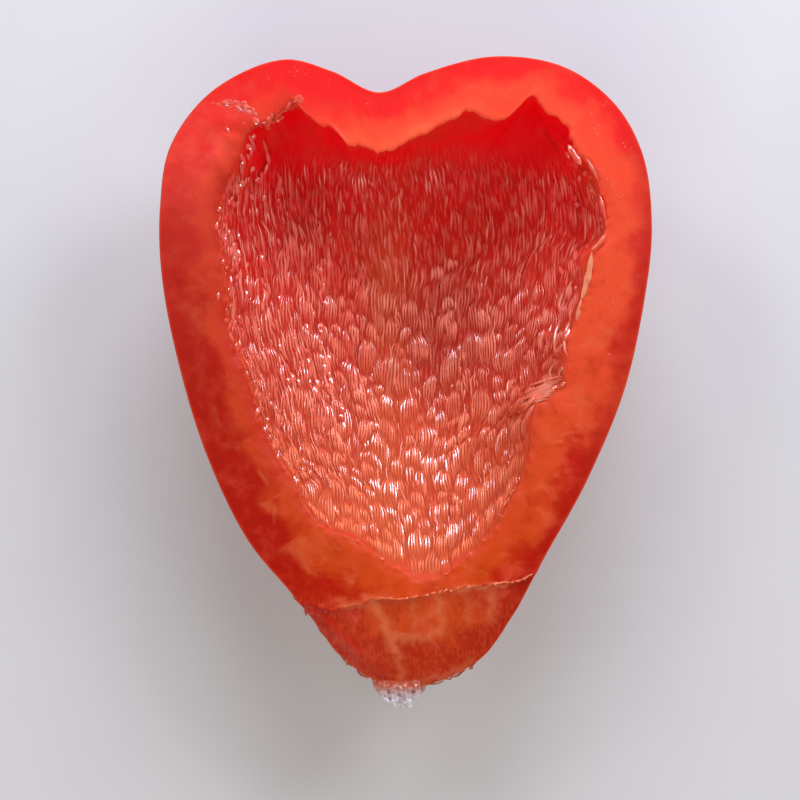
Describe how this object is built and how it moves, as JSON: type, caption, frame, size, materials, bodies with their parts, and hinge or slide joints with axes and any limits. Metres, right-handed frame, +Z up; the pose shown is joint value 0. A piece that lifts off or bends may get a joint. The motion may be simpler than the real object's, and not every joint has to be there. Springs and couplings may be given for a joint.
{
  "type": "bell pepper cheek",
  "caption": "Cheek of red bell pepper cut lengthwise, lying on its skin, with lobed shoulders, a blistered seed hollow and a trimmed tip.",
  "frame": {"origin": "on the resting surface, at the middle of the bounding box's base", "axes": "+Z up, out of the main cut face; +Y along the fruit from the tip to the shoulder lobes; +X across the cheek"},
  "size_m": [0.0755, 0.1003, 0.024],
  "materials": {
    "flesh": "moist knife-cut red flesh with a wet sheen, glossy waxy skin outside and a glistening blistered wall in the hollow"
  },
  "bodies": {
    "root": {"pepper_cheek": "flesh"}
  },
  "joints": []
}
